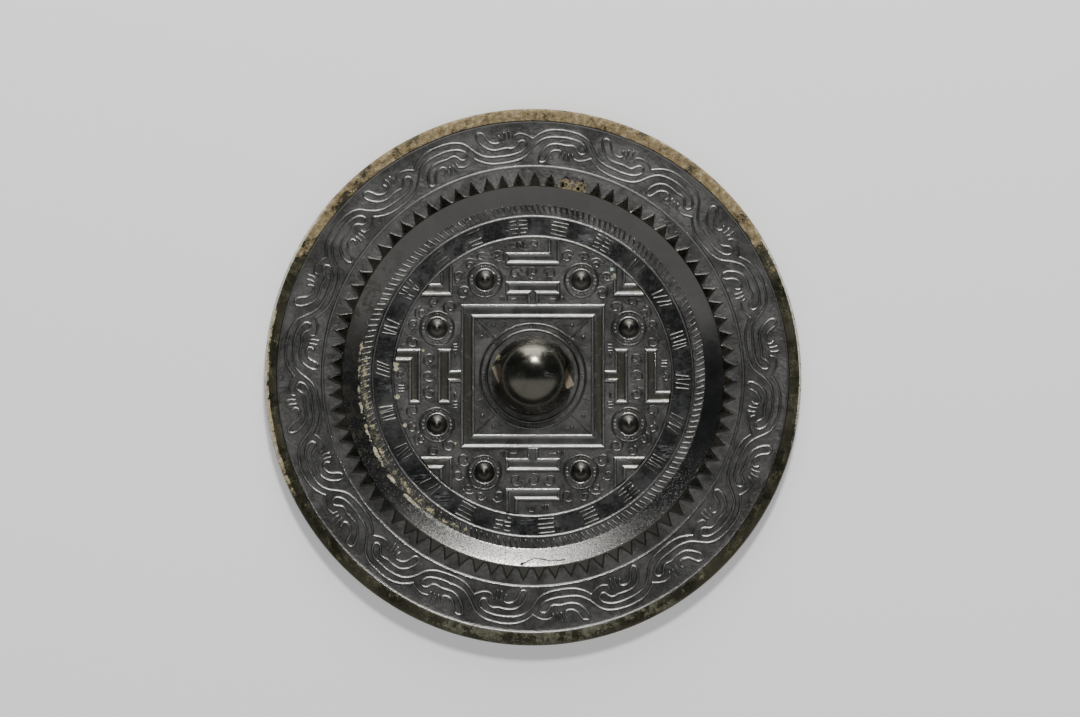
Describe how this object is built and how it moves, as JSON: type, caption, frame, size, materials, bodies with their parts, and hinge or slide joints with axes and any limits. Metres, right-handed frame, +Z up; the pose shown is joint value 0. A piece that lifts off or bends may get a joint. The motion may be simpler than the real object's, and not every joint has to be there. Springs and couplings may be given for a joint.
{
  "type": "bronze mirror",
  "caption": "Round cast bronze mirror, lying face down: pierced knob in a square, compass marks, bosses, script band, sawtooth ring and cloud-scroll rim.",
  "frame": {"origin": "centre of the flat spot of the reflecting face, on the surface the mirror lies on", "axes": "+Z up through the knob, +Y towards the top mark of the back, +X along the knob's cord hole"},
  "size_m": [0.166, 0.166, 0.0142],
  "materials": {
    "bronze": "old high-tin bronze: dark green-black polish on the raised faces, dull grey ground, patchy sandy patina"
  },
  "bodies": {
    "root": {"mirror": "bronze"}
  },
  "joints": []
}
